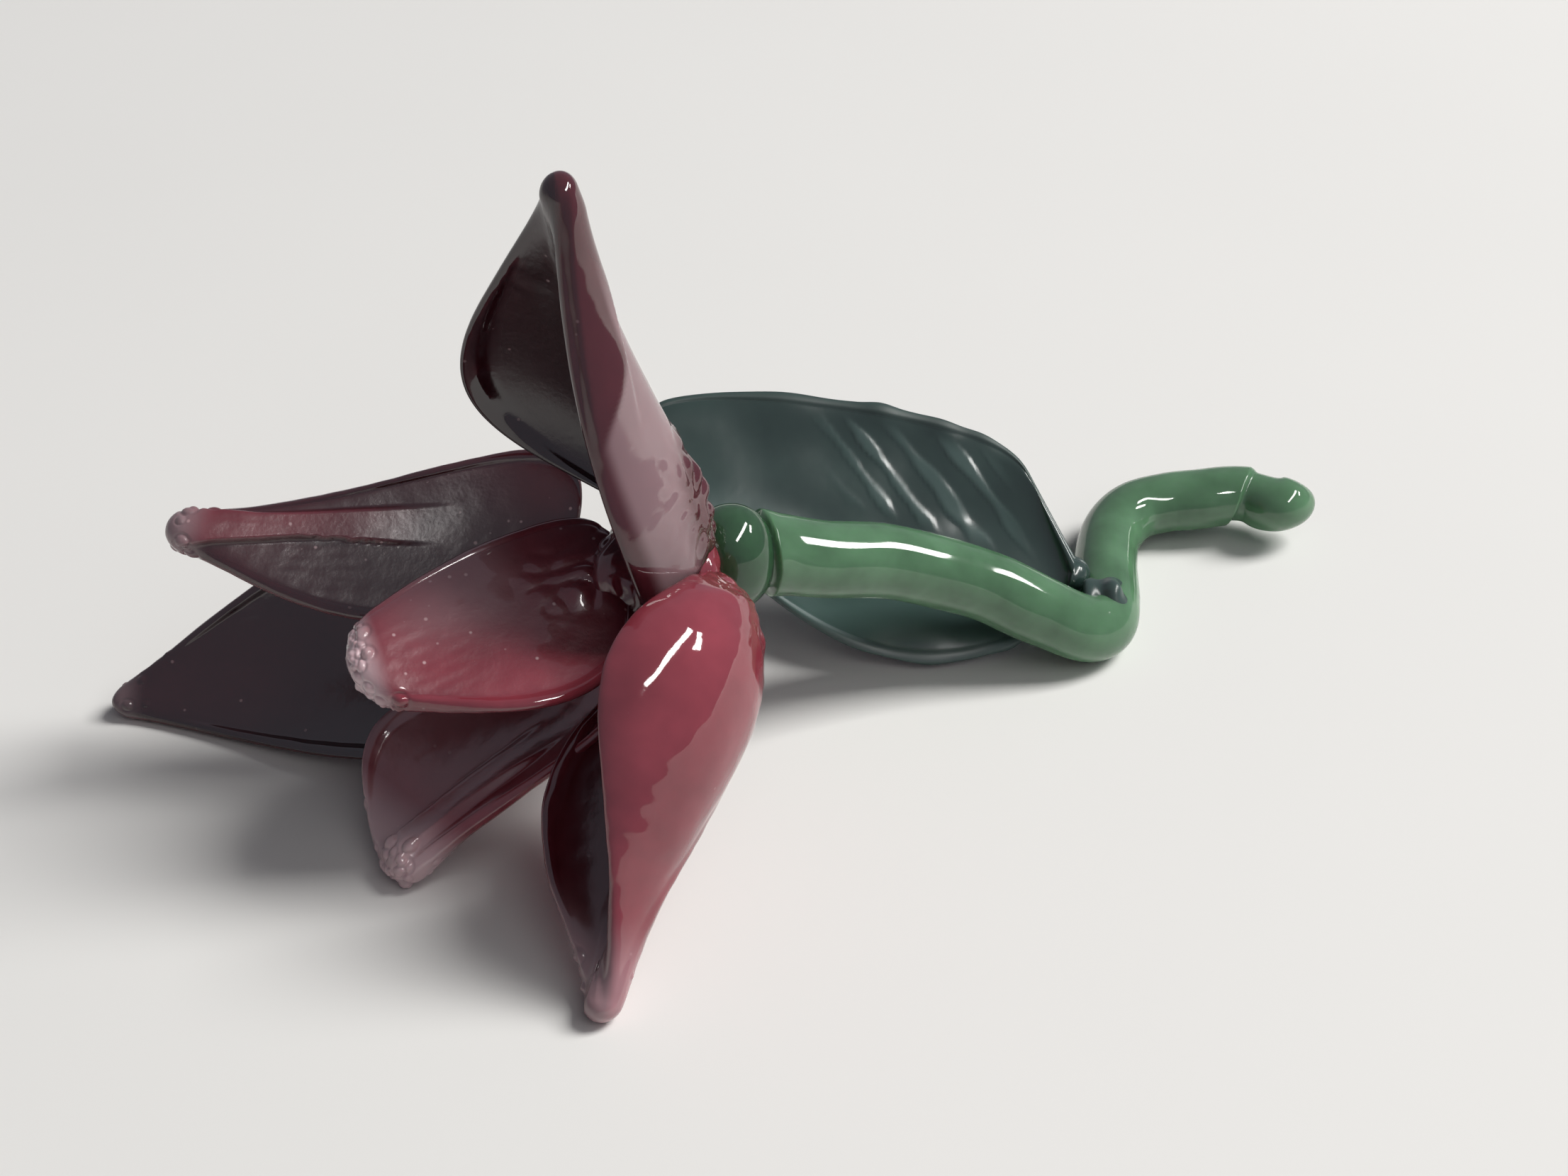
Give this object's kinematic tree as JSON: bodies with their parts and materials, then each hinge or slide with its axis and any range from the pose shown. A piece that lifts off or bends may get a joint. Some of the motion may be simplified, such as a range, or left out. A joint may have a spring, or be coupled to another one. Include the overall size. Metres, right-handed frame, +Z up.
{
  "type": "glass flower",
  "caption": "Ornamental flower of lampworked glass lying on its side, with cupped dark red petals, a green calyx bead, a bent green stem and a pressed dark green leaf.",
  "frame": {"origin": "bottom centre of the flower's box as it lies on a table", "axes": "+Z up from the table, +X from the open flower along the stem to its end, +Y away from the side that shows the open flower"},
  "size_m": [0.133, 0.0798, 0.0659],
  "materials": {
    "red_glass": "polished, nearly opaque dark red glass with fine bubbles",
    "green_glass": "polished, cloudy jade green glass",
    "leaf_glass": "polished, dark green glass with pressed veins"
  },
  "bodies": {
    "root": {"petal_top": "red_glass", "petal_back": "red_glass", "petal_far_left": "red_glass", "petal_centre": "red_glass", "petal_near_left": "red_glass", "petal_near": "red_glass", "heart": "red_glass", "bead": "green_glass", "stem": "green_glass", "leaf": "leaf_glass"}
  },
  "joints": []
}
